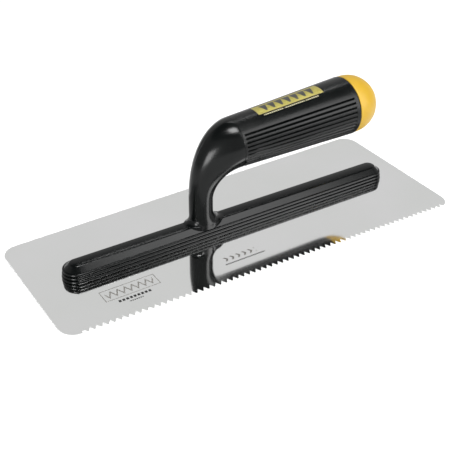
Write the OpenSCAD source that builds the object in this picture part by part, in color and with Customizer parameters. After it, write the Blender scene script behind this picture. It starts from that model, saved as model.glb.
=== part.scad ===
// Notched trowel: a spring-steel blade with a V-notched long edge, a moulded mounting
// that runs along the blade and turns up into a gooseneck, and a ribbed grip with an end cap.
// X runs along the blade from the toe (-X) to the heel (+X), the notched edge faces -Y and
// +Z is up. The origin is the middle of the blade's underside.

/* [Blade] */
// Length of the blade
blade_length = 280; // [220:5:400]
// Width of the blade at the heel, under the end cap
heel_width = 114; // [90:1:140]
// Width of the blade at the toe
toe_width = 98; // [80:1:130]
// Thickness of the blade sheet
blade_thickness = 0.6; // [0.4:0.1:1.2]
// Radius of the blade's four corners
corner_radius = 10; // [4:1:16]

/* [Notches] */
// Distance from one notch to the next
notch_pitch = 4; // [2.5:0.5:8]
// Width of the flat land between two notches
land_width = 1; // [0.6:0.1:2]
// Depth of a notch
notch_depth = 3; // [1.5:0.5:6]
// Width of the flat at the root of a notch
notch_root = 0.3; // [0.2:0.1:1]
// Plain edge before the first notch at the toe
notch_start = 9.9; // [9:0.1:20]
// Plain edge after the last notch at the heel, at least
notch_end = 7; // [6:0.5:20]

/* [Spine] */
// Length of the spine that lies along the blade
spine_length = 241; // [200:1:260]
// Place of the spine's middle along the blade
spine_x = 0.7; // [-5:0.1:5]
// Width of the spine across its lowest rib
spine_width = 18.4; // [15:0.2:26]
// Height of one side rib
rib_height = 2.35; // [1.8:0.05:3.5]
// How far each rib stands out from the groove beside it
rib_bulge = 1; // [0.3:0.1:1.2]
// How far each rib is set in from the rib below it
rib_step = 0.3; // [0:0.1:0.6]
// Width of the crown at the groove above the top rib
crown_width = 14.6; // [12:0.2:15.8]
// Width of the crown's domed top, between its two sloping sides
crown_top_width = 8.4; // [6:0.2:11]
// Height of the crown's sloping sides
crown_side_height = 3.1; // [2:0.1:4]
// Rise of the crown's domed top
crown_rise = 0.45; // [0.2:0.05:1]

/* [Gooseneck] */
// Place of the post along the blade
post_x = -25.3; // [-50:0.5:0]
// Diameter of the post
post_diameter = 15.2; // [11:0.2:20]
// Height at which the post starts to bend, above the blade's underside
post_height = 27.4; // [22:0.5:36]
// Radius of the fillet between the post's outer side and the spine
outer_fillet = 4.5; // [2:0.5:10]
// Radius of the fillet between the post's inner side and the spine
inner_fillet = 8.5; // [3:0.5:10]
// Place along the blade where the gooseneck ends and the grip starts
seam_x = -2.9; // [-8:0.1:6]
// Height of the grip's axis at that seam
seam_height = 60.5; // [54:0.5:72]
// How far the outer side of the bend is drawn straight up from the post
outer_rise = 49; // [30:1:56]
// How far the outer side of the bend is drawn back from the seam
outer_reach = 1; // [0.5:0.5:12]
// How far the inner side of the bend is drawn straight up from the post
inner_rise = 2; // [1:0.5:14]
// How far the inner side of the bend is drawn back from the seam
inner_reach = 15; // [6:0.5:15]

/* [Grip] */
// Upward tilt of the grip's axis, in degrees
grip_tilt = 2.5; // [0:0.5:6]
// Length of the grip sleeve
grip_length = 87.2; // [75:0.2:110]
// Diameter of the grip at the gooseneck
grip_front_diameter = 32.2; // [28:0.2:36]
// Diameter of the grip at the end cap
grip_end_diameter = 38.8; // [34:0.2:44]
// Half angle of the smooth panel on top of the grip, in degrees
panel_half_angle = 51; // [40:1:70]
// Number of grooves round the rest of the grip
groove_count = 29; // [15:1:35]
// Width of a groove
groove_width = 0.9; // [0.5:0.1:1.4]
// Depth of a groove
groove_depth = 0.7; // [0.3:0.1:1]
// Plain band between the seam and the grooves
front_band = 1.6; // [0.8:0.2:6]
// Plain band between the grooves and the end cap
end_band = 3.6; // [2:0.2:10]
// Radius of the rounded edge at the end cap
grip_edge_radius = 1.2; // [0.4:0.2:2]

/* [Label] */
// Distance from the seam to the label
label_start = 17; // [8:0.5:25]
// Length of the label
label_length = 49; // [30:1:60]
// Half angle that the label covers round the grip, in degrees
label_half_angle = 17; // [8:1:30]
// Thickness of the label, which is also the depth of its recess
label_thickness = 0.3; // [0.2:0.1:0.6]

/* [End cap] */
// Length of the straight part of the end cap
cap_skirt = 3; // [1:0.5:6]
// Height of the cap's dome beyond the straight part
cap_dome = 19.2; // [10:0.2:24]
// How much smaller the cap's radius is than the grip's
cap_inset = 0.3; // [0.1:0.1:1]
// Length of the plug that goes into the grip
plug_length = 10; // [6:0.5:12]
// Diameter of the plug
plug_diameter = 26; // [20:0.5:29]
// Wall of the hollow plug
plug_wall = 2.6; // [1.5:0.1:4]
// Depth of the hollow, measured from the plug's free end
cap_hollow = 19; // [12:0.5:24]

/* [Inner fixings] */
// Diameter of the tang that the grip slides over
tang_diameter = 18; // [14:0.5:20]
// Length of the tang
tang_length = 62; // [40:1:64]
// Width of the two keys that stop the grip from turning
key_width = 3; // [2:0.5:5]
// How far the keys stand out from the tang
key_height = 1.4; // [0.8:0.1:2]
// Thickness of the wall in the grip that the screw clamps
web_thickness = 5; // [3:0.5:8]
// Diameter of the screw
screw_diameter = 5; // [4:0.5:6]
// Length of the screw under its head
screw_length = 18; // [14:1:22]
// Diameter of the screw's head
screw_head_diameter = 9.4; // [7:0.2:12]
// Height of the screw's head
screw_head_height = 3.2; // [2:0.2:5]
// Width across the flats of the socket in the screw's head
screw_socket = 4; // [2.5:0.5:5]
// Diameter of the washer
washer_diameter = 15; // [11:0.5:19]
// Thickness of the washer
washer_thickness = 1.2; // [0.8:0.1:2]
// Outer diameter of the threaded insert in the tang
insert_diameter = 8; // [7:0.5:10]
// Length of the threaded insert
insert_length = 14; // [8:1:20]

/* [Weld studs] */
// Number of studs welded to the blade
stud_count = 7; // [3:1:9]
// Distance from one stud to the next
stud_pitch = 34; // [20:1:36]
// Diameter of a stud
stud_diameter = 4; // [3:0.5:6]
// Height of a stud above its flange
stud_height = 5; // [3:0.5:6]
// Diameter of a stud's flange
flange_diameter = 8; // [6:0.5:10]
// Thickness of a stud's flange
flange_thickness = 0.8; // [0.5:0.1:1.5]

/* [Fits] */
// Radial clearance of the tang and the cap's plug in the grip
slide_clearance = 0.1; // [0.05:0.05:0.3]
// Radial clearance of the screw in the washer and the grip's wall
screw_clearance = 0.3; // [0.1:0.1:0.6]
// Radial clearance of the screw in the threaded insert
thread_clearance = 0.02; // [0.01:0.01:0.1]
// Clearance round and above the weld studs, filled with adhesive
stud_clearance = 0.05; // [0.05:0.05:0.3]
// Clearance round the label in its recess
label_clearance = 0.1; // [0.05:0.05:0.3]

/* [Hidden] */

$fn = 64;
arc_steps = 6;
neck_steps = 28;
neck_sides = 40;
foot_steps = 8;
over = 1;

notch_width = notch_pitch - land_width;
notch_count = floor((blade_length - notch_start - notch_end - notch_width) / notch_pitch) + 1;
spine_end_x = (spine_length - spine_width) / 2;
rib_count = 3;
top_groove_z = rib_count * rib_height;
crown_edge_z = top_groove_z + crown_side_height;
crown_dome_radius = (pow(crown_top_width / 2, 2) + pow(crown_rise, 2)) / (2 * crown_rise);
crown_dome_angle = asin(crown_top_width / 2 / crown_dome_radius);
spine_top = blade_thickness + crown_edge_z + crown_rise;
post_radius = post_diameter / 2;
front_radius = grip_front_diameter / 2;
end_radius = grip_end_diameter / 2;
bore_depth = tang_length + slide_clearance;
pocket_start = bore_depth + web_thickness;
pocket_radius = plug_diameter / 2 + slide_clearance;
cap_radius = end_radius - cap_inset;
taper_angle = atan((end_radius - front_radius) / grip_length);
groove_pitch = (360 - 2 * panel_half_angle) / (groove_count - 1);
foot_low = blade_thickness + top_groove_z / 2;
foot_height = max(outer_fillet, inner_fillet);

// Radius of the grip at a distance s from the seam
function grip_radius(s) = front_radius + (end_radius - front_radius) * s / grip_length;

// Point at distance r from c in the direction a
function polar(c, r, a) = c + r * [cos(a), sin(a)];

// ---------- blade ----------

// Arc of radius r that rounds the corner p between the points before and after it
function rounded_corner(before, p, after, r) =
    let(
        u = (before - p) / norm(before - p),
        v = (after - p) / norm(after - p),
        half = acos(u * v) / 2,
        centre = p + (u + v) / norm(u + v) * r / sin(half),
        turn = 180 - 2 * half,
        middle = atan2((p - centre)[1], (p - centre)[0])
    )
    [for (i = [0:arc_steps]) polar(centre, r, middle - turn / 2 + turn * i / arc_steps)];

toe_back = [-blade_length / 2, toe_width / 2];
toe_front = [-blade_length / 2, -toe_width / 2];
heel_front = [blade_length / 2, -heel_width / 2];
heel_back = [blade_length / 2, heel_width / 2];
front_edge_angle = atan2((heel_front - toe_front)[1], blade_length);

// One notch as a shape whose mouth lies on the X axis and whose root points along +Y
module notch() {
    polygon([
        [-notch_width / 2 * (1 + over / notch_depth), -over],
        [-notch_root / 2, notch_depth],
        [notch_root / 2, notch_depth],
        [notch_width / 2 * (1 + over / notch_depth), -over]
    ]);
}

module blade() {
    color("gainsboro")
    linear_extrude(blade_thickness)
    difference() {
        polygon(concat(
            rounded_corner(toe_back, toe_front, heel_front, corner_radius),
            rounded_corner(toe_front, heel_front, heel_back, corner_radius),
            rounded_corner(heel_front, heel_back, toe_back, corner_radius),
            rounded_corner(heel_back, toe_back, toe_front, corner_radius)
        ));
        translate(toe_front)
            rotate(front_edge_angle)
                for (i = [0:notch_count - 1])
                    translate([notch_start + notch_width / 2 + i * notch_pitch, 0])
                        notch();
    }
}

// ---------- weld studs ----------

module at_each_stud() {
    for (i = [0:stud_count - 1])
        translate([(i - (stud_count - 1) / 2) * stud_pitch, 0, blade_thickness])
            children();
}

// One stud with its flange, larger all round by the clearance and longer below by the same
module stud(clearance) {
    translate([0, 0, -clearance]) {
        cylinder(d = flange_diameter + 2 * clearance, h = flange_thickness + 2 * clearance);
        cylinder(d = stud_diameter + 2 * clearance, h = flange_thickness + stud_height + 2 * clearance);
    }
}

module weld_studs() {
    color("silver") at_each_stud() stud(0);
}

// ---------- mounting ----------

// One rib of the side profile as half an ellipse, counted up from the blade
function rib_profile(i) = [
    for (k = [0:arc_steps])
        let(t = 180 * k / arc_steps, low = i * rib_height)
        [spine_width / 2 - i * rib_step - rib_bulge * (1 - sin(t)), low + rib_height * (1 - cos(t)) / 2]
];

// Crown from the top groove up its sloping side and along the arc of its domed top to the middle
function crown_profile() = concat(
    [[crown_width / 2, top_groove_z]],
    [for (k = [0:arc_steps])
        let(t = crown_dome_angle * (1 - k / arc_steps))
        [crown_dome_radius * sin(t), crown_edge_z + crown_rise - crown_dome_radius * (1 - cos(t))]]
);

function spine_profile() = concat(
    [[0, 0]],
    [for (i = [0:rib_count - 1]) each rib_profile(i)],
    crown_profile()
);

module spine_end(side) {
    translate([spine_x + side * spine_end_x, 0, blade_thickness])
        rotate([0, 0, side > 0 ? -90 : 90])
            rotate_extrude(angle = 180)
                polygon(spine_profile());
}

module spine_half(side) {
    translate([spine_x - spine_end_x, 0, blade_thickness])
        rotate([90, 0, 90])
            linear_extrude(2 * spine_end_x)
                polygon([for (p = spine_profile()) [side * p[0], p[1]]]);
}

// Share of the way from the post's width to the grip's width at a step t of the bend
function ease(t) = t * t * (3 - 2 * t);

// Point of the cubic curve with the handles p at t
function curve_point(p, t) =
    pow(1 - t, 3) * p[0] + 3 * t * pow(1 - t, 2) * p[1] + 3 * t * t * (1 - t) * p[2] + pow(t, 3) * p[3];

// Handles of one side of the bend: side 1 is the outer side and -1 is the inner side
function bend_side(side, rise, reach) = let(
    foot = [post_x - side * post_radius, post_height],
    top = [seam_x, seam_height] + side * front_radius * [-sin(grip_tilt), cos(grip_tilt)]
) [foot, foot + [0, rise], top - reach * [cos(grip_tilt), sin(grip_tilt)], top];

// How far a fillet of radius r reaches out along the spine at a height z, as a quarter of a circle
function foot_flare(z, r) = r - sqrt(pow(r, 2) - pow(max(0, min(r, spine_top + r - z)), 2));

// A ring of the gooseneck: its outer point, its inner point and its half width across
function foot_ring(z) = [
    [post_x - post_radius - foot_flare(z, outer_fillet), z],
    [post_x + post_radius + foot_flare(z, inner_fillet), z],
    post_radius
];
function bend_ring(t) = [
    curve_point(bend_side(1, outer_rise, outer_reach), t),
    curve_point(bend_side(-1, inner_rise, inner_reach), t),
    post_radius + (front_radius - post_radius) * ease(t)
];
function neck_rings() = concat(
    [foot_ring(foot_low)],
    [for (i = [0:foot_steps]) foot_ring(spine_top + foot_height * (1 - cos(90 * i / foot_steps)))],
    [for (i = [0:neck_steps]) bend_ring(i / neck_steps)]
);
function ring_points(ring) = [
    for (k = [0:neck_sides - 1])
        let(
            a = 360 * k / neck_sides,
            p = (ring[0] + ring[1]) / 2 + (ring[0] - ring[1]) / 2 * cos(a)
        )
        [p[0], -ring[2] * sin(a), p[1]]
];

module gooseneck() {
    rings = neck_rings();
    last = len(rings) - 1;
    n = neck_sides;
    polyhedron(
        points = [for (ring = rings) each ring_points(ring)],
        faces = concat(
            [[for (k = [0:n - 1]) k]],
            [for (j = [0:last - 1], k = [0:n - 1])
                [j * n + k, (j + 1) * n + k, (j + 1) * n + (k + 1) % n, j * n + (k + 1) % n]],
            [[for (k = [n - 1:-1:0]) last * n + k]]
        )
    );
}

// Puts its children on the grip's axis, with +Z along the axis from the seam
module on_grip_axis(s = 0) {
    translate([seam_x, 0, seam_height])
        rotate([0, 90 - grip_tilt, 0])
            translate([0, 0, s])
                children();
}

// The tang with its two keys from just before the seam, larger all round by the clearance
module tang(clearance) {
    reach = tang_diameter / 2 + key_height + clearance;
    length = over + tang_length + clearance;
    translate([0, 0, -over]) {
        cylinder(r = tang_diameter / 2 + clearance, h = length);
        translate([-reach, -key_width / 2 - clearance, 0])
            cube([2 * reach, key_width + 2 * clearance, length]);
    }
}

module mounting() {
    color([0.07, 0.08, 0.08])
    difference() {
        union() {
            for (side = [-1, 1]) {
                spine_end(side);
                spine_half(side);
            }
            gooseneck();
            on_grip_axis() tang(0);
        }
        at_each_stud() stud(stud_clearance);
        on_grip_axis(tang_length - insert_length)
            cylinder(d = insert_diameter, h = insert_length + over);
    }
}

// ---------- grip ----------

// The grip's solid outline: a cone whose edge at the end cap is rounded
module grip_body() {
    edge = [grip_radius(grip_length) - grip_edge_radius, grip_length - grip_edge_radius];
    rotate_extrude()
        polygon(concat(
            [[0, 0], [front_radius, 0]],
            [for (k = [0:arc_steps]) polar(edge, grip_edge_radius, 90 * k / arc_steps)],
            [[0, grip_length]]
        ));
}

// A cutter that follows the grip's surface on the side at an angle from the top
module groove(angle) {
    rotate([0, 0, 180 + angle])
        translate([grip_radius(front_band), 0, front_band])
            rotate([0, taper_angle, 0])
                translate([-groove_depth, -groove_width / 2, 0])
                    cube([groove_depth + over, groove_width, grip_length - front_band - end_band]);
}

// A sector of the grip's surface under the label, from the recess's floor up to a height
module label_block(clearance, height) {
    side = 2 * end_radius;
    half = label_half_angle + clearance / front_radius * 180 / PI;
    intersection() {
        translate([0, 0, label_start - clearance])
            linear_extrude(label_length + 2 * clearance)
                polygon([[0, 0], [-side, side * tan(half)], [-side, -side * tan(half)]]);
        difference() {
            cylinder(r1 = front_radius + height, r2 = end_radius + height, h = grip_length);
            cylinder(r1 = front_radius - label_thickness, r2 = end_radius - label_thickness, h = grip_length);
        }
    }
}

module grip_sleeve() {
    color([0.07, 0.08, 0.08])
    on_grip_axis()
    difference() {
        grip_body();
        for (i = [0:groove_count - 1]) groove(panel_half_angle + i * groove_pitch);
        label_block(label_clearance, over);
        tang(slide_clearance);
        translate([0, 0, bore_depth - over])
            cylinder(d = screw_diameter + 2 * screw_clearance, h = web_thickness + 2 * over);
        translate([0, 0, pocket_start])
            cylinder(r = pocket_radius, h = grip_length - pocket_start + over);
    }
}

module grip_label() {
    color([0.78, 0.72, 0.30]) on_grip_axis() label_block(0, 0);
}

// ---------- end cap and inner fixings ----------

module end_cap() {
    color([0.97, 0.75, 0.20])
    on_grip_axis(grip_length)
    difference() {
        union() {
            rotate_extrude()
                polygon(concat(
                    [[0, 0], [cap_radius, 0]],
                    [for (k = [0:2 * arc_steps])
                        let(t = 45 * k / arc_steps)
                        [cap_radius * cos(t), cap_skirt + cap_dome * sin(t)]]
                ));
            translate([0, 0, -plug_length]) cylinder(d = plug_diameter, h = plug_length + over);
        }
        translate([0, 0, -plug_length - over])
            cylinder(d = plug_diameter - 2 * plug_wall, h = cap_hollow + over);
    }
}

module screw_washer() {
    color("silver")
    on_grip_axis(pocket_start)
    difference() {
        cylinder(d = washer_diameter, h = washer_thickness);
        translate([0, 0, -over])
            cylinder(d = screw_diameter + 2 * screw_clearance, h = washer_thickness + 2 * over);
    }
}

module grip_screw() {
    color("dimgray")
    on_grip_axis(pocket_start + washer_thickness)
    difference() {
        union() {
            cylinder(d = screw_head_diameter, h = screw_head_height);
            translate([0, 0, -screw_length]) cylinder(d = screw_diameter, h = screw_length + over);
        }
        translate([0, 0, screw_head_height / 2])
            cylinder(d = screw_socket / cos(30), h = screw_head_height, $fn = 6);
    }
}

module tang_insert() {
    color("gold")
    on_grip_axis(tang_length - insert_length)
    difference() {
        cylinder(d = insert_diameter, h = insert_length);
        translate([0, 0, -over])
            cylinder(d = screw_diameter + 2 * thread_clearance, h = insert_length + 2 * over);
    }
}

blade();
weld_studs();
mounting();
grip_sleeve();
grip_label();
end_cap();
grip_screw();
screw_washer();
tang_insert();
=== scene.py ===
"""Looks of a notched trowel: mirror-bright blade, black moulded mounting and grip, gold foil label
and yellow end cap. Lengths are metres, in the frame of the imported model."""

import math

import bmesh
import bpy
import numpy as np
from mathutils import Matrix, Vector


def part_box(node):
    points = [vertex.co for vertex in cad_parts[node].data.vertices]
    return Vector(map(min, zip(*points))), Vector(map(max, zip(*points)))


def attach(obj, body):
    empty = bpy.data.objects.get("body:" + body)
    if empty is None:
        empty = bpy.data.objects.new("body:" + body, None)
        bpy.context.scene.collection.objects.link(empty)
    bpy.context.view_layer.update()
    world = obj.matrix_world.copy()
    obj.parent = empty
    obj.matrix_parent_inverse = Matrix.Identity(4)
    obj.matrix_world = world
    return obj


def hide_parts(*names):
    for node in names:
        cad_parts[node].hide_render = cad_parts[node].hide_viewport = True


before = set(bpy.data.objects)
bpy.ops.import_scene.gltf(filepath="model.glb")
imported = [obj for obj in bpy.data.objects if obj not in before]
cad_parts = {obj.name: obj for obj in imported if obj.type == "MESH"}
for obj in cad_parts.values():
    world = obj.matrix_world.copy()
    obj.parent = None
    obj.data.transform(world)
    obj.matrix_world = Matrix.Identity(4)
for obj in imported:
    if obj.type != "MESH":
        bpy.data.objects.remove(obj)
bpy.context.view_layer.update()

MM = 0.001

# ---------- sizes that the frame gives ----------

blade_low, blade_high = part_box("blade")
mounting_low, mounting_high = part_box("mounting")
sleeve_low, sleeve_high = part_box("grip_sleeve")
insert_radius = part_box("tang_insert")[1].y
washer_middle = sum(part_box("screw_washer"), Vector()) / 2

BLADE_TOP = blade_high.z
SPINE_HALF_LENGTH = (mounting_high.x - mounting_low.x) / 2
SPINE_X = (mounting_high.x + mounting_low.x) / 2
FRONT_RADIUS = mounting_high.y
END_RADIUS = sleeve_high.y

# ---------- sizes of the shapes, in metres ----------

# Spine
SPINE_HALF_WIDTH = 9.2 * MM
RIB_HEIGHT = 2.35 * MM
RIB_BULGE = 1 * MM
RIB_STEP = 0.3 * MM
RIB_COUNT = 3
CREVICE_DEPTH, CREVICE_REACH = 0.9 * MM, 0.64
CROWN_HALF_WIDTH = 7.3 * MM
CROWN_TOP_HALF_WIDTH = 4.2 * MM
CROWN_SIDE_HEIGHT = 3.1 * MM
CROWN_RISE = 0.45 * MM
CROWN_ROUNDING, CROWN_EDGE_LIFT = 0.5 * MM, 0.22
CROWN_TOP = BLADE_TOP + RIB_COUNT * RIB_HEIGHT + CROWN_SIDE_HEIGHT + CROWN_RISE

# Gooseneck
POST_X = -25.3 * MM
POST_RADIUS = 7.6 * MM
POST_HEIGHT = 27.4 * MM
OUTER_FILLET, INNER_FILLET = 4.5 * MM, 8.5 * MM
OUTER_RISE, OUTER_REACH = 49 * MM, 1 * MM
INNER_RISE, INNER_REACH = 2 * MM, 15 * MM
NECK_ROOT = 2 * MM
PARTING_RIDGE = 0.16 * MM

# Angles off the neck's outer side where the parting ridge has points, in degrees, and the shares of
# the rings over which it rises and fades
RIDGE_SHOULDER, RIDGE_HALF_ANGLE, RIDGE_MARGIN = 1.1, 1.9, 3.2
RIDGE_RISES = 0.34, 0.38
RIDGE_FADES = 0.52, 0.72

# Grip
GRIP_TILT = math.radians(2.5)
GRIP_LENGTH = 87.2 * MM
PANEL_HALF_ANGLE = math.radians(51)
GROOVE_COUNT = 29
GROOVE_HALF_WIDTH = 0.55 * MM
GROOVE_DEPTH = 1.1 * MM
RIB_ROUNDING, RIB_FLATNESS = 0.42 * MM, 0.6
PANEL_MARGIN = 0.07
FRONT_BAND = 1.6 * MM
END_BAND = 3.6 * MM
EDGE_ROUNDING = 1.2 * MM
SEAM_CHAMFER = 0.25 * MM
LABEL_START, LABEL_LENGTH = 17 * MM, 49 * MM
LABEL_HALF_ANGLE = math.radians(17)
LABEL_THICKNESS = 0.3 * MM
LABEL_GAP = 0.1 * MM
RECESS_HALF_ANGLE = LABEL_HALF_ANGLE + LABEL_GAP / FRONT_RADIUS
RECESS_STEP = 0.001
TANG_RADIUS = 9 * MM
TANG_LENGTH = 62 * MM
TANG_ROOT = 2 * MM
TANG_CHAMFER = 0.6 * MM
INSERT_LENGTH = 14 * MM
KEY_HEIGHT = 1.4 * MM
KEYWAY_GAP = 0.2 * MM
WEB = 5 * MM
POCKET_RADIUS = 13.1 * MM
SCREW_HOLE_RADIUS = 2.8 * MM
SLIDE = 0.1 * MM

# End cap
CAP_INSET = 0.3 * MM
CAP_SKIRT = 3 * MM
CAP_DOME = 19.2 * MM
PLUG_RADIUS, PLUG_LENGTH, PLUG_WALL = 13 * MM, 10 * MM, 2.6 * MM
PLUG_CHAMFER = 0.6 * MM
CAP_HOLLOW = 19 * MM
CAP_RIM = 0.35 * MM
GATE_RADIUS, GATE_DEPTH = 1.3 * MM, 0.25 * MM

# ---------- marks and prints, in millimetres and degrees ----------

# Etched frame on the blade: its middle, its half lengths and the width of its line
FRAME_X, FRAME_Y = -89.5, -26.4
FRAME_HALF_LENGTH, FRAME_HALF_WIDTH, FRAME_LINE = 17.8, 5.2, 0.5

# Row of teeth in the frame
TEETH_HALF_LENGTH, TEETH_HALF_WIDTH = 15.6, 3.4
TEETH_PITCH, TEETH_SWING, TEETH_LINE = 4.6, 2.5, 1.1

# Row of chevrons nearer the post
CHEVRON_START, CHEVRON_END, CHEVRON_Y = -29, -5, -31.8
CHEVRON_HALF_WIDTH, CHEVRON_LEAN, CHEVRON_PITCH, CHEVRON_SHARE = 2.0, 0.7, 4.4, 0.34

# Dark rows of dashes: start, end, middle y, half width, pitch and the dash's share of the pitch
DASH_STRIPS = (
    (-101.5, -79.5, -34.6, 1.0, 2.4, 0.68),
    (-95.5, -86.5, -37.6, 0.5, 1.3, 0.6),
    (-30, -1, -36.6, 0.6, 1.4, 0.62),
)

# Weld rings under the blade
WELD_COUNT, WELD_PITCH, WELD_RADIUS, WELD_WIDTH = 7, 34, 3.2, 1.1

# Printed dashes on the grip, under the label
PRINT_ANGLES, PRINT_SPAN = (20.0, 23.0), (20, 61)
PRINT_PITCH, PRINT_SHARE = 1.5, 0.6
GROUP_PITCH, GROUP_OFFSET, GROUP_SHARE = 16, 0.8, 0.93

# Printed border and teeth on the label
BORDER_HALF_ANGLE, BORDER_MARGIN = 14.6, 1.1
FIELD_HALF_ANGLE, FIELD_MARGIN = 11.4, 4
PRINT_TOOTH_PITCH, PRINT_TOOTH_SLOPE, PRINT_TOOTH_LIFT = 5.8, 1.35, 0.06

# ---------- the grip's own axes ----------

ALONG = Vector((math.cos(GRIP_TILT), 0, math.sin(GRIP_TILT)))
UP = Vector((-math.sin(GRIP_TILT), 0, math.cos(GRIP_TILT)))
SEAM_X = sleeve_low.x + FRONT_RADIUS * math.sin(GRIP_TILT)
SEAM = washer_middle + ALONG * (SEAM_X - washer_middle.x) / ALONG.x


def on_grip(along, angle, radius):
    """Points at a distance along the grip's axis from the seam, an angle from its top towards the
    notched edge, and a radius: seam + along * axis + radius * (cos(angle) * up - sin(angle) * Y)."""
    along, angle, radius = np.broadcast_arrays(along, angle, radius)
    lift = (radius * np.cos(angle))[..., None] * np.array(UP)
    side = (radius * np.sin(angle))[..., None] * np.array((0.0, -1.0, 0.0))
    return np.array(SEAM) + along[..., None] * np.array(ALONG) + lift + side


# ---------- mesh making ----------

def quads(rows, columns, closed_rows):
    """Faces of a grid of points held row by row. The columns always close into a ring, and the
    rows do when closed_rows is true: face (i, j) joins points (i, j), (i, j+1), (i+1, j+1), (i+1, j)."""
    i = np.arange(rows if closed_rows else rows - 1)[:, None]
    j = np.arange(columns)[None, :]
    below, right = (i + 1) % rows, (j + 1) % columns
    corners = (i * columns + j, i * columns + right, below * columns + right, below * columns + j)
    return np.stack(corners, axis=-1).reshape(-1, 4)


def signed_volume(points, faces):
    """Six times the volume inside a closed mesh, positive when its faces look outwards: the sum of
    the triple products of the two triangles of every face."""
    a, b, c, d = (points[faces[:, k]] for k in range(4))
    halves = np.cross(a, b) * c, np.cross(a, c) * d
    return sum(half.sum() for half in halves)


def piece(name, grids, material, node, crease=32.0):
    """A mesh object made of closed grids, each given as (points, closed_rows). Coinciding points are
    merged, faces look outwards, and edges sharper than the crease angle stay sharp."""
    points, faces, start = [], [], 0
    for grid, closed_rows in grids:
        flat = grid.reshape(-1, 3)
        mesh_faces = quads(*grid.shape[:2], closed_rows)
        if signed_volume(flat, mesh_faces) < 0:
            mesh_faces = mesh_faces[:, ::-1]
        points.append(flat)
        faces.append(mesh_faces + start)
        start += len(flat)
    mesh = bpy.data.meshes.new(name)
    mesh.from_pydata(np.concatenate(points).tolist(), [], np.concatenate(faces).tolist())
    work = bmesh.new()
    work.from_mesh(mesh)
    bmesh.ops.remove_doubles(work, verts=work.verts, dist=1e-6)
    bmesh.ops.dissolve_degenerate(work, edges=work.edges, dist=1e-7)
    work.to_mesh(mesh)
    work.free()
    mesh.shade_smooth()
    mesh.set_sharp_from_angle(angle=math.radians(crease))
    made = bpy.data.objects.new(name, mesh)
    bpy.context.scene.collection.objects.link(made)
    mesh.materials.append(material)
    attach(made, "root")
    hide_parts(node)
    return made


# ---------- shader making ----------

class Wire:
    """A shader socket on which Python's operators add Math nodes."""

    def __init__(self, finish, socket):
        self.finish = finish
        self.socket = socket

    def maths(self, operation, *values):
        return self.finish.node("Math", {"operation": operation}, dict(enumerate(values)))

    def __add__(self, other):
        return self.maths("ADD", self, other)

    def __radd__(self, other):
        return self.maths("ADD", other, self)

    def __sub__(self, other):
        return self.maths("SUBTRACT", self, other)

    def __rsub__(self, other):
        return self.maths("SUBTRACT", other, self)

    def __mul__(self, other):
        return self.maths("MULTIPLY", self, other)

    def __rmul__(self, other):
        return self.maths("MULTIPLY", other, self)

    def __truediv__(self, other):
        return self.maths("DIVIDE", self, other)

    def __rtruediv__(self, other):
        return self.maths("DIVIDE", other, self)

    def __lt__(self, other):
        return self.maths("LESS_THAN", self, other)

    def __gt__(self, other):
        return self.maths("GREATER_THAN", self, other)

    def __abs__(self):
        return self.maths("ABSOLUTE", self)

    def fraction(self):
        return self.maths("FRACT", self)

    def within(self, low, high):
        """1 between two values and 0 outside them."""
        return (self > low) * (self < high)


class Finish:
    """A node material, or the world's nodes. node() adds any node and returns its output as a Wire."""

    def __init__(self, owner):
        self.owner = owner
        owner.use_nodes = True
        self.tree = owner.node_tree
        self.tree.nodes.clear()

    def node(self, kind, settings=None, sockets=None, output=0):
        made = self.tree.nodes.new("ShaderNode" + kind)
        for key, value in (settings or {}).items():
            if key == "stops":
                self.set_stops(made.color_ramp, value)
            else:
                setattr(made, key, value)
        for key, value in (sockets or {}).items():
            if isinstance(value, Wire):
                self.tree.links.new(value.socket, made.inputs[key])
            else:
                made.inputs[key].default_value = value
        return Wire(self, made.outputs[output]) if made.outputs else None

    @staticmethod
    def set_stops(ramp, stops):
        while len(ramp.elements) < len(stops):
            ramp.elements.new(1.0)
        for element, (place, colour) in zip(ramp.elements, stops):
            element.position = place
            element.color = (*colour, 1.0)

    def place(self):
        """Object coordinates, in metres."""
        return self.node("TexCoord", output="Object")

    def axes(self):
        """The x, y and z of the object coordinates, in millimetres."""
        apart = self.node("SeparateXYZ", sockets={"Vector": self.place()})
        outputs = apart.socket.node.outputs
        return tuple(Wire(self, outputs[k]) / MM for k in range(3))

    def noise(self, scale, detail=2.0, stretch=(1.0, 1.0, 1.0)):
        """Noise with that many features in a metre, drawn out along an axis where stretch is small."""
        vector = self.node("Mapping", sockets={"Vector": self.place(), "Scale": stretch})
        return self.node("TexNoise", sockets={"Vector": vector, "Scale": scale, "Detail": detail})

    def spread(self, value, low, high):
        """Carries a noise value from around its middle onto low to high."""
        bounds = {"Value": value, "From Min": 0.3, "From Max": 0.7, "To Min": low, "To Max": high}
        return self.node("MapRange", sockets=bounds)

    def colours(self, factor, first, second):
        """A colour between two colours or colour wires."""
        first, second = (c if isinstance(c, Wire) else (*c, 1.0) for c in (first, second))
        return self.node("Mix", {"data_type": "RGBA"}, {0: factor, 6: first, 7: second}, output=2)

    def bump(self, height, strength, distance):
        return self.node("Bump", sockets={"Height": height, "Strength": strength, "Distance": distance})

    def surface(self, sockets):
        """Ends the material with one principled shader that has these socket values."""
        shader = self.node("BsdfPrincipled", sockets=sockets)
        self.node("OutputMaterial", sockets={"Surface": shader})
        return self.owner


def finish(name):
    return Finish(bpy.data.materials.new(name))


# ---------- finishes ----------

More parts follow.
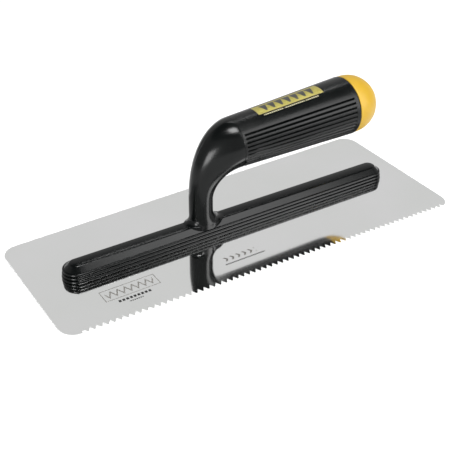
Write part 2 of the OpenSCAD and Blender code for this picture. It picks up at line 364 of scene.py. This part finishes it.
def moulded_black(name, roughness, print_row=False):
    """Black moulding with a fine pebble and slow changes of gloss. The grip has a printed row of
    pale dashes under its label."""
    made = finish(name)
    clouds = made.noise(45, 3)
    pebble = made.noise(2600, 2)
    shade = made.spread(clouds, 0, 1)
    colour = made.colours(shade, (0.0012, 0.0016, 0.0016), (0.0022, 0.0028, 0.0027))
    gloss = made.spread(clouds, roughness * 0.86, roughness * 1.14)
    if print_row:
        mask = dash_row(made)
        colour = made.colours(mask, colour, (0.40, 0.37, 0.24))
        gloss = gloss + mask * 0.15
    return made.surface({
        "Base Color": colour,
        "Roughness": gloss,
        "Specular IOR Level": 0.19,
        "Normal": made.bump(pebble, 0.22, 0.00002),
    })


def grip_coordinates(made):
    """Distance along the grip from the seam in millimetres, and the angle from the top towards the
    notched edge in degrees."""
    x, y, z = made.axes()
    east, lift = x - SEAM.x / MM, z - SEAM.z / MM
    along = east * math.cos(GRIP_TILT) + lift * math.sin(GRIP_TILT)
    up = lift * math.cos(GRIP_TILT) - east * math.sin(GRIP_TILT)
    angle = up.maths("ARCTAN2", y * -1, up) * math.degrees(1)
    return along, angle


def dash_row(made):
    """Mask of short dashes in groups, printed along the grip under the label."""
    along, angle = grip_coordinates(made)
    row = angle.within(*PRINT_ANGLES) * along.within(*PRINT_SPAN)
    dash = (along / PRINT_PITCH).fraction() < PRINT_SHARE
    group = (along / GROUP_PITCH + GROUP_OFFSET).fraction() < GROUP_SHARE
    return row * dash * group


def gold_label():
    """Gold foil printed with a border line and a row of black teeth."""
    made = finish("gold_foil")
    along, angle = grip_coordinates(made)
    half_length = LABEL_LENGTH / 2 / MM
    off_middle = along - (LABEL_START / MM + half_length)
    off_top, off_centre = abs(angle), abs(off_middle)
    border = 1 - (off_top < BORDER_HALF_ANGLE) * (off_centre < half_length - BORDER_MARGIN)
    inside = (off_top < FIELD_HALF_ANGLE) * (off_centre < half_length - FIELD_MARGIN)
    tooth = abs((off_middle / PRINT_TOOTH_PITCH).fraction() - 0.5) * 2
    level = (angle + FIELD_HALF_ANGLE) / (2 * FIELD_HALF_ANGLE)
    black = inside * (tooth * PRINT_TOOTH_SLOPE - PRINT_TOOTH_LIFT > level)
    foil = made.noise(900, 3)
    gold = made.colours(made.spread(foil, 0, 1), (0.27, 0.232, 0.040), (0.36, 0.315, 0.070))
    rim = made.colours(border, gold, (0.30, 0.26, 0.07))
    return made.surface({
        "Base Color": made.colours(black, rim, (0.016, 0.016, 0.014)),
        "Metallic": (1 - black) * 0.45,
        "Roughness": made.spread(foil, 0.30, 0.40),
        "Normal": made.bump(foil, 0.15, 0.00003),
    })


def yellow_cap():
    """Satin yellow moulding with faint flow marks and slightly duller patches."""
    made = finish("yellow_cap")
    clouds = made.noise(70, 3)
    pebble = made.noise(3200, 2)
    shade = made.spread(clouds, 0, 1)
    return made.surface({
        "Base Color": made.colours(shade, (0.36, 0.215, 0.003), (0.39, 0.235, 0.006)),
        "Roughness": made.spread(clouds, 0.38, 0.50),
        "IOR": 1.46,
        "Subsurface Weight": 0.06,
        "Subsurface Radius": (0.004, 0.002, 0.0006),
        "Normal": made.bump(pebble, 0.2, 0.00002),
    })


def box_mask(across, along, half_across, half_along):
    """1 where both distances from a middle are under their half lengths, and 0 elsewhere."""
    return (across < half_across) * (along < half_along)


def dash_strip(x, y, start, end, middle, half_width, pitch, share):
    """Mask of one row of dashes that runs along X."""
    return (abs(y - middle) < half_width) * x.within(start, end) * ((x / pitch).fraction() < share)


def etched_marks(made):
    """Masks of the marks on the blade's top face: lightly etched ones, a frame round a row of teeth
    and a row of chevrons, and dark ones, the rows of dashes under them."""
    x, y, z = made.axes()
    on_top = z > BLADE_TOP / MM / 2
    frame_x, frame_y = abs(x - FRAME_X), abs(y - FRAME_Y)
    outer = box_mask(frame_x, frame_y, FRAME_HALF_LENGTH, FRAME_HALF_WIDTH)
    inner = box_mask(frame_x, frame_y, FRAME_HALF_LENGTH - FRAME_LINE, FRAME_HALF_WIDTH - FRAME_LINE)
    wave = abs((x / TEETH_PITCH).fraction() - 0.5) * (4 * TEETH_SWING) - TEETH_SWING
    zigzag = abs(y - FRAME_Y - wave) < TEETH_LINE
    teeth = zigzag * box_mask(frame_x, frame_y, TEETH_HALF_LENGTH, TEETH_HALF_WIDTH)
    off_row = abs(y - CHEVRON_Y)
    stroke = ((off_row * CHEVRON_LEAN + x) / CHEVRON_PITCH).fraction() < CHEVRON_SHARE
    chevrons = stroke * (off_row < CHEVRON_HALF_WIDTH) * x.within(CHEVRON_START, CHEVRON_END)
    light = outer * (1 - inner) + teeth + chevrons
    dark = sum(dash_strip(x, y, *strip) for strip in DASH_STRIPS)
    return light.maths("MINIMUM", light, 1.0) * on_top, dark * on_top


def weld_marks(made):
    """Mask of the faint rings that the studs' welds leave in the blade's underside."""
    x, y, z = made.axes()
    offset = ((x / WELD_PITCH + 0.5).fraction() - 0.5) * WELD_PITCH
    square = offset * offset + y * y
    distance = square.maths("SQRT", square)
    ring = 1 - abs(distance - WELD_RADIUS) / WELD_WIDTH
    clear = ring.maths("MAXIMUM", ring, 0.0)
    return clear * (z < BLADE_TOP / MM / 2) * (abs(x) < WELD_COUNT / 2 * WELD_PITCH)


def blade_steel():
    """Polished spring steel: faint rolling lines along the blade, a slow haze, etched marks on top
    and weld rings below."""
    made = finish("blade_steel")
    lines = made.noise(40, 4, (0.25, 22, 1))
    haze = made.noise(14, 2)
    etched, dark = etched_marks(made)
    marks = etched + dark
    rings = weld_marks(made)
    steel = made.colours(made.spread(haze, 0, 1), (0.83, 0.84, 0.825), (0.87, 0.87, 0.87))
    marked = made.colours(dark, made.colours(etched, steel, (0.36, 0.35, 0.33)), (0.05, 0.05, 0.05))
    return made.surface({
        "Base Color": made.colours(rings * 0.5, marked, (0.42, 0.36, 0.30)),
        "Metallic": 1.0,
        "Roughness": made.spread(lines, 0.045, 0.08) + marks * 0.4 + rings * 0.2,
        "Normal": made.bump(lines + marks * -0.5, 0.06, 0.00002),
    })


def plain_metal(name, dark, light, roughness, scale):
    """A turned or plated metal with fine marks that change its colour, gloss and surface."""
    made = finish(name)
    marks = made.noise(scale, 3)
    return made.surface({
        "Base Color": made.colours(made.spread(marks, 0, 1), dark, light),
        "Metallic": 1.0,
        "Roughness": made.spread(marks, roughness * 0.8, roughness * 1.2),
        "Normal": made.bump(marks, 0.2, 0.00003),
    })


# ---------- mounting ----------

def spine_profile():
    """Half section of the spine from the middle of its base to the middle of its crown: three ribs,
    each half an ellipse that stands out between two sharp crevices, then a straight sloping side whose
    upper edge is rounded by a quadratic curve, and a parabola that falls from the middle of the top."""
    turn = np.linspace(0, np.pi, 19)
    crevice = CREVICE_DEPTH * np.clip(1 - np.sin(turn) / CREVICE_REACH, 0, 1)
    out, rise = [np.zeros(1)], [np.zeros(1)]
    for i in range(RIB_COUNT):
        out.append(SPINE_HALF_WIDTH - i * RIB_STEP - RIB_BULGE * (1 - np.sin(turn)) - crevice)
        rise.append(RIB_HEIGHT * (i + (1 - np.cos(turn)) / 2))
    groove = np.array((CROWN_HALF_WIDTH, RIB_COUNT * RIB_HEIGHT))
    edge = np.array((CROWN_TOP_HALF_WIDTH, RIB_COUNT * RIB_HEIGHT + CROWN_SIDE_HEIGHT))
    slope = (groove - edge) / np.linalg.norm(groove - edge)
    low = edge + slope * CROWN_ROUNDING
    high = edge - (CROWN_ROUNDING, -CROWN_RISE * CROWN_EDGE_LIFT)
    t = np.linspace(0, 1, 8)[:, None]
    rounded = low * (1 - t) ** 2 + edge * 2 * t * (1 - t) + high * t ** 2
    side = groove + (low - groove) * np.linspace(0, 1, 7)[:-1, None]
    across = np.linspace(high[0], 0, 14)[1:]
    drop = (edge[1] + CROWN_RISE - high[1]) * (across / high[0]) ** 2
    out += [side[:, 0], rounded[:, 0], across]
    rise += [side[:, 1], rounded[:, 1], edge[1] + CROWN_RISE - drop]
    return np.concatenate(out), BLADE_TOP + np.concatenate(rise)


def spine_grid():
    """The spine's section carried round a long ring: point = middle of the nearer end + half width *
    direction, where the direction turns through half a circle at each end of the straight part."""
    out, rise = spine_profile()
    end = SPINE_HALF_LENGTH - SPINE_HALF_WIDTH
    straight = np.linspace(-end, end, 61)
    bend = np.linspace(-np.pi / 2, np.pi / 2, 25)[1:-1]
    level, at_end = np.ones_like(straight), np.full_like(bend, end)
    middle = np.concatenate([straight, at_end, straight[::-1], -at_end])
    ahead = np.concatenate([0 * level, np.cos(bend), 0 * level, -np.cos(bend)])
    aside = np.concatenate([-level, np.sin(bend), level, -np.sin(bend)])
    x = SPINE_X + middle[None, :] + out[:, None] * ahead[None, :]
    y = out[:, None] * aside[None, :]
    z = np.broadcast_to(rise[:, None], x.shape)
    return np.stack([x, y, z], axis=-1)


def cubic(handles, t):
    """Points of the cubic curve with four handles: the sum of the handles weighted by (1-t)^3,
    3t(1-t)^2, 3t^2(1-t) and t^3."""
    weights = (1 - t) ** 3, 3 * t * (1 - t) ** 2, 3 * t ** 2 * (1 - t), t ** 3
    return sum(w[:, None] * np.array(h)[None, :] for w, h in zip(weights, handles))


def bend_handles(side, rise, reach):
    """Handles in X and Z of one side of the bend: 1 is the outer side and -1 is the inner side."""
    foot = np.array((POST_X - side * POST_RADIUS, POST_HEIGHT))
    seam = np.array((SEAM.x, SEAM.z)) + side * FRONT_RADIUS * np.array((UP.x, UP.z))
    axis = np.array((ALONG.x, ALONG.z))
    return foot, foot + (0, rise), seam - reach * axis, seam


def neck_rings():
    """Outer point, inner point and half width of every ring, from inside the spine to the seam. The
    foot flares along X as a quarter of a circle, and the bend runs between two cubic curves while
    its half width eases from the post's radius to the grip's."""
    rise = INNER_FILLET * (1 - np.cos(np.linspace(0, np.pi / 2, 18)))
    rise = np.concatenate([[0.0], rise])
    height = CROWN_TOP + rise
    height[0] = BLADE_TOP + NECK_ROOT
    outer_flare, inner_flare = (
        r - np.sqrt(r ** 2 - np.clip(r - rise, 0, r) ** 2) for r in (OUTER_FILLET, INNER_FILLET))
    foot_outer = np.stack([POST_X - POST_RADIUS - outer_flare, height], axis=-1)
    foot_inner = np.stack([POST_X + POST_RADIUS + inner_flare, height], axis=-1)
    t = np.linspace(0, 1, 64)
    outer = cubic(bend_handles(1, OUTER_RISE, OUTER_REACH), t)
    inner = cubic(bend_handles(-1, INNER_RISE, INNER_REACH), t)
    ease = t * t * (3 - 2 * t)
    half = np.concatenate([
        np.full(len(height), POST_RADIUS),
        POST_RADIUS + (FRONT_RADIUS - POST_RADIUS) * ease,
    ])
    return np.concatenate([foot_outer, outer]), np.concatenate([foot_inner, inner]), half


def neck_grid():
    """The gooseneck: an ellipse between the outer and the inner point of each ring. A low parting
    ridge stands on its outer side, and the last rings step in to leave a fine line at the seam."""
    outer, inner, half = neck_rings()
    side = np.array([RIDGE_SHOULDER, RIDGE_HALF_ANGLE, RIDGE_MARGIN])
    degrees = np.concatenate([-side[::-1], [0], side, np.arange(7, 354, 3.9)])
    angle = np.radians(degrees)
    centre, arm = (outer + inner) / 2, (outer - inner) / 2
    rows = np.linspace(0, 1, len(half))[:, None]
    strength = np.interp(rows, RIDGE_RISES, (0, 1)) * np.interp(rows, RIDGE_FADES, (1, 0))
    crest = np.clip(1 - np.abs(degrees) / RIDGE_HALF_ANGLE, 0, 1)[None, :]
    ridge = PARTING_RIDGE * strength * crest
    along = np.cos(angle)[None, :] * (1 + ridge / np.linalg.norm(arm, axis=1)[:, None])
    x = centre[:, :1] + arm[:, :1] * along
    z = centre[:, 1:] + arm[:, 1:] * along
    y = -half[:, None] * np.sin(angle)[None, :]
    rings = np.stack([x, y, z], axis=-1)
    chamfered = on_grip(0.0, angle[None, :], FRONT_RADIUS - SEAM_CHAMFER)
    rings[-1] = on_grip(-SEAM_CHAMFER, angle, FRONT_RADIUS)
    centre_low = np.broadcast_to(rings[0].mean(axis=0), rings[:1].shape)
    return np.concatenate([centre_low, rings, chamfered, on_grip(0.0, angle[None, :], 0.0)])


def lathe(profile, angles):
    """A section of (distance along the grip, radius) turned about the grip's axis."""
    along, radius = np.array(profile).T
    return on_grip(along[:, None], angles[None, :], radius[:, None])


def even_angles(count):
    return np.linspace(0, 2 * np.pi, count, endpoint=False)


def tang_grid():
    """The tang that the grip slides over: a round bar with the insert's hole in its chamfered end."""
    insert_end = TANG_LENGTH - INSERT_LENGTH
    profile = [
        (-TANG_ROOT, 0), (-TANG_ROOT, TANG_RADIUS), (TANG_LENGTH - TANG_CHAMFER, TANG_RADIUS),
        (TANG_LENGTH, TANG_RADIUS - TANG_CHAMFER), (TANG_LENGTH, insert_radius),
        (insert_end, insert_radius), (insert_end, 0),
    ]
    return lathe(profile, even_angles(64))


# ---------- grip ----------

def groove_angles():
    """Angles of the grooves' middles, spread evenly from one side of the smooth panel to the other."""
    return np.linspace(PANEL_HALF_ANGLE, 2 * np.pi - PANEL_HALF_ANGLE, GROOVE_COUNT)


def groove_depth(off):
    """Depth at a distance off a groove's middle: full in the middle, whence straight walls rise to a
    quarter of a flattened circle that rounds the rib's edge."""
    inside = np.abs(off) < GROOVE_HALF_WIDTH / 2
    reach = np.clip((np.abs(off) - GROOVE_HALF_WIDTH) / RIB_ROUNDING, 0, 1)
    rounding = RIB_ROUNDING * RIB_FLATNESS * (1 - np.sqrt(1 - (1 - reach) ** 2))
    return np.where(inside, GROOVE_DEPTH, rounding)


def sleeve_angles():
    """Angles at which the sleeve's surface has points: close together at the grooves' walls, the
    ribs' edges and the label's sides, and even between them."""
    mean_radius = (FRONT_RADIUS + END_RADIUS) / 2
    rounding = np.linspace(0, 1, 6) ** 1.4 * RIB_ROUNDING
    side = np.concatenate([[0], GROOVE_HALF_WIDTH + rounding])
    around = np.concatenate([-side[:0:-1], side]) / mean_radius
    grooves = (groove_angles()[:, None] + around[None, :]).ravel()
    panel_end = PANEL_HALF_ANGLE - PANEL_MARGIN
    panel = np.linspace(-panel_end, panel_end, 39)
    label_side = np.array([RECESS_HALF_ANGLE, RECESS_HALF_ANGLE + RECESS_STEP])
    label = np.concatenate([-label_side[::-1], label_side])
    middles = groove_angles()[:-1] + np.diff(groove_angles()) / 2
    return np.unique(np.concatenate([grooves, middles, panel, label]) % (2 * np.pi))


def sleeve_stations():
    """Distances along the sleeve at which its outer surface has rings, with the groove share and the
    label share at each: both are 0 or 1, with a steep step at their ends."""
    step = 0.06 * MM
    label_ends = LABEL_START - LABEL_GAP, LABEL_START + LABEL_LENGTH + LABEL_GAP
    groove_ends = FRONT_BAND, GRIP_LENGTH - END_BAND
    edges = [v for end in (*label_ends, *groove_ends) for v in (end, end + step)]
    even = np.linspace(2.4 * MM, GRIP_LENGTH - END_BAND - 1 * MM, 22)
    near_seam = [SEAM_CHAMFER, 0.8 * MM]
    along = np.unique(np.concatenate([edges, even, near_seam, [GRIP_LENGTH - EDGE_ROUNDING]]))
    grooved = (along > groove_ends[0] + step / 2) & (along < groove_ends[1] + step / 2)
    labelled = (along > label_ends[0] + step / 2) & (along < label_ends[1] + step / 2)
    return along, grooved.astype(float), labelled.astype(float)


def taper(along):
    """The grip's radius at a distance from the seam."""
    return FRONT_RADIUS + (END_RADIUS - FRONT_RADIUS) * along / GRIP_LENGTH


def sleeve_grid():
    """The sleeve as one closed skin: its outer cone less the grooves and the label's recess, the
    rounded end, and then the pocket, the screw's hole and the bore back to the seam."""
    angle = sleeve_angles()
    along, grooved, labelled = sleeve_stations()
    radius = taper(along)[:, None]
    off = np.abs(angle[None, :, None] - groove_angles()[None, None, :]).min(axis=2) * radius
    turned = np.abs((angle + np.pi) % (2 * np.pi) - np.pi)
    under_label = turned < RECESS_HALF_ANGLE + RECESS_STEP / 2
    cut = groove_depth(off) * grooved[:, None]
    cut = np.maximum(cut, LABEL_THICKNESS * labelled[:, None] * under_label[None, :])
    outside = on_grip(along[:, None], angle[None, :], radius - cut)
    corner = np.linspace(0, np.pi / 2, 7)[1:]
    edge = taper(GRIP_LENGTH) - EDGE_ROUNDING
    bore = TANG_RADIUS + KEY_HEIGHT + KEYWAY_GAP
    bottom = TANG_LENGTH + SLIDE
    end = [(GRIP_LENGTH - EDGE_ROUNDING * (1 - math.sin(a)), edge + EDGE_ROUNDING * math.cos(a))
           for a in corner]
    inside = [
        (GRIP_LENGTH, POCKET_RADIUS), (bottom + WEB, POCKET_RADIUS),
        (bottom + WEB, SCREW_HOLE_RADIUS), (bottom, SCREW_HOLE_RADIUS),
        (bottom, bore), (0, bore), (0, FRONT_RADIUS - SEAM_CHAMFER),
    ]
    return np.concatenate([outside, lathe(end + inside, angle)])


def cap_grid():
    """The end cap: a short skirt with a softened rim, a dome that is half an ellipse with a small
    gate mark at its tip, and the hollow plug that goes into the sleeve."""
    radius = taper(GRIP_LENGTH) - CAP_INSET
    corner = np.linspace(np.pi / 2, 0, 6)
    skirt = [(CAP_RIM * (1 - math.sin(a)), radius - CAP_RIM * (1 - math.cos(a))) for a in corner]
    turns = [t for t in np.linspace(0, np.pi / 2, 44) if radius * math.cos(t) > GATE_RADIUS]
    dome = [(CAP_SKIRT + CAP_DOME * math.sin(t), radius * math.cos(t)) for t in turns]
    tip = CAP_SKIRT + CAP_DOME
    gate_floor = tip - GATE_DEPTH
    mark = [(tip - GATE_DEPTH / 4, GATE_RADIUS), (gate_floor, GATE_RADIUS * 0.9), (gate_floor, 0)]
    inner = PLUG_RADIUS - PLUG_WALL
    plug = [
        (CAP_HOLLOW - PLUG_LENGTH, 0), (CAP_HOLLOW - PLUG_LENGTH, inner),
        (-PLUG_LENGTH, inner), (-PLUG_LENGTH, PLUG_RADIUS - PLUG_CHAMFER),
        (PLUG_CHAMFER - PLUG_LENGTH, PLUG_RADIUS), (0, PLUG_RADIUS),
    ]
    profile = [(GRIP_LENGTH + a, r) for a, r in plug + skirt + dome + mark]
    return lathe(profile, even_angles(128))


# ---------- floor, light and camera ----------

def make_floor():
    """A pale level sheet just under the blade, with a very faint mottle."""
    size = 4.0
    low = blade_low.z - 0.2 * MM
    corners = [(-size, -size, low), (size, -size, low), (size, size, low), (-size, size, low)]
    mesh = bpy.data.meshes.new("floor")
    mesh.from_pydata(corners, [], [(0, 1, 2, 3)])
    floor = bpy.data.objects.new("floor", mesh)
    bpy.context.scene.collection.objects.link(floor)
    made = finish("pale_floor")
    mottle = made.spread(made.noise(6, 2), 0, 1)
    mesh.materials.append(made.surface({
        "Base Color": made.colours(mottle, (0.905, 0.905, 0.905), (0.92, 0.92, 0.92)),
        "Roughness": 0.75,
        "Specular IOR Level": 0.2,
    }))


def softbox(name, place, size, power, aim=(0.0, 0.0, 0.03)):
    """A rectangular lamp at a place, turned towards the aim."""
    lamp = bpy.data.lights.new(name, "AREA")
    lamp.shape = "RECTANGLE"
    lamp.size, lamp.size_y = size
    lamp.energy = power
    made = bpy.data.objects.new(name, lamp)
    turned = (Vector(aim) - Vector(place)).to_track_quat("-Z", "Y")
    made.matrix_world = Matrix.Translation(place) @ turned.to_matrix().to_4x4()
    bpy.context.scene.collection.objects.link(made)


def make_world():
    """An even studio surround, bright near the horizon and darker overhead."""
    world = bpy.data.worlds.new("studio")
    bpy.context.scene.world = world
    made = Finish(world)
    direction = made.node("TexCoord", output="Generated")
    height = made.node("SeparateXYZ", sockets={"Vector": direction}, output=2)
    wall, ceiling = (0.70, 0.70, 0.70), (0.07, 0.072, 0.074)
    stops = [(0.0, wall), (0.64, wall), (0.76, ceiling), (1.0, ceiling)]
    shade = made.node("ValToRGB", {"stops": stops}, {"Fac": height})
    made.node("OutputWorld", sockets={"Surface": made.node("Background", sockets={"Color": shade})})


def make_camera():
    """A camera at the front left above the trowel. Its axes are worked out from its azimuth,
    elevation and roll."""
    azimuth, elevation, roll = (math.radians(v) for v in (-34.95, 33.64, -1.87))
    level = math.cos(elevation)
    back = Vector((math.sin(azimuth) * level, -math.cos(azimuth) * level, math.sin(elevation)))
    right = Vector((math.cos(azimuth), math.sin(azimuth), 0))
    down = right.cross(back)
    turned_right = right * math.cos(roll) + down * math.sin(roll)
    turned_down = down * math.cos(roll) - right * math.sin(roll)
    data = bpy.data.cameras.new("camera")
    data.lens = 71.6
    data.sensor_width = 36.0
    data.shift_x, data.shift_y = -0.0707, 0.011
    camera = bpy.data.objects.new("camera", data)
    axes = Matrix((turned_right, -turned_down, back)).transposed().to_4x4()
    camera.matrix_world = Matrix.Translation((-0.2677, -0.4088, 0.3206)) @ axes
    bpy.context.scene.collection.objects.link(camera)
    bpy.context.scene.camera = camera


# ---------- the trowel ----------

def give_finish(node, material):
    """Puts a material in every slot of a CAD node's object."""
    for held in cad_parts[node].material_slots:
        held.material = material


piece("moulded_mounting", [(spine_grid(), False), (neck_grid(), False), (tang_grid(), False)],
      moulded_black("black_moulding", 0.20), "mounting")
piece("ribbed_sleeve", [(sleeve_grid(), True)], moulded_black("black_grip", 0.25, True),
      "grip_sleeve")
piece("domed_cap", [(cap_grid(), False)], yellow_cap(), "end_cap", 40)

give_finish("blade", blade_steel())
give_finish("grip_label", gold_label())

# Node, finish, darkest and lightest colour, roughness and marks in a metre
SMALL_METALS = (
    ("weld_studs", "stud_steel", (0.50, 0.50, 0.49), (0.62, 0.62, 0.61), 0.35, 1500),
    ("grip_screw", "screw_steel", (0.10, 0.10, 0.11), (0.16, 0.16, 0.17), 0.42, 1800),
    ("screw_washer", "zinc_steel", (0.58, 0.60, 0.62), (0.70, 0.71, 0.72), 0.30, 1200),
    ("tang_insert", "insert_brass", (0.62, 0.46, 0.20), (0.74, 0.57, 0.28), 0.28, 1600),
)
for node, *look in SMALL_METALS:
    give_finish(node, plain_metal(*look))

make_floor()
make_world()
softbox("overhead", (0.02, -0.22, 1.05), (0.36, 0.36), 11.0)
softbox("left_front", (-0.95, -0.66, 0.20), (0.40, 0.42), 9.0)
softbox("right_front", (0.58, -0.78, 0.60), (0.42, 1.15), 10.0)
softbox("back_strip", (0.44, 0.49, 0.90), (0.5, 0.04), 1.0)
make_camera()
bpy.context.scene.view_settings.view_transform = "Standard"
